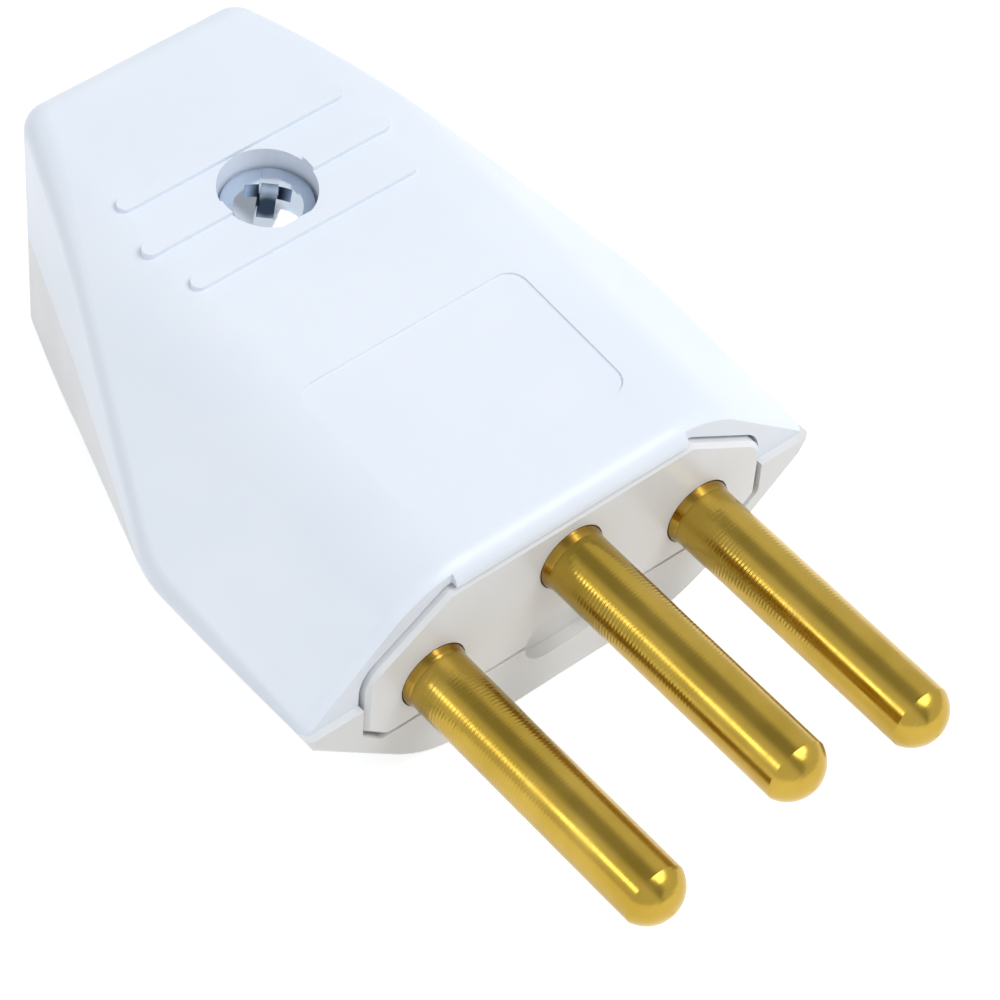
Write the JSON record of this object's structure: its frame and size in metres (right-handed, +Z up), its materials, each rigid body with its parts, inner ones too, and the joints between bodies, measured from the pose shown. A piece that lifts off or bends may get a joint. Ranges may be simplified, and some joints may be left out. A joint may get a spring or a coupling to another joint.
{
  "type": "grounded plug",
  "caption": "Rewireable grounded plug with round brass pins in line, the earth pin offset, in a tapered white moulded two-shell body closed by a screw.",
  "frame": {"origin": "on the engagement face, midway between the axes of the two line pins", "axes": "+X across the plug from the left line pin to the right one, +Y from the pins to the cord end, +Z up to the side with the closing screw"},
  "size_m": [0.0364, 0.0597, 0.0179],
  "materials": {
    "cover_plastic": "smooth moulded gloss",
    "shell_plastic": "smooth moulded gloss",
    "carrier_plastic": "smooth moulded gloss",
    "clamp_plastic": "moulded",
    "pin_brass": "turned",
    "screw_zinc": "bright zinc plated",
    "inner_steel": "plated steel"
  },
  "bodies": {
    "root": {"top_cover": "cover_plastic", "bottom_shell": "shell_plastic", "pin_carrier": "carrier_plastic", "pin_left": "pin_brass", "pin_right": "pin_brass", "pin_earth": "pin_brass", "terminal_screw_left": "inner_steel", "terminal_screw_right": "inner_steel", "terminal_screw_earth": "inner_steel", "cover_screw": "screw_zinc", "cover_nut": "inner_steel", "cord_clamp": "clamp_plastic", "clamp_screw_left": "inner_steel", "clamp_screw_right": "inner_steel"}
  },
  "joints": []
}
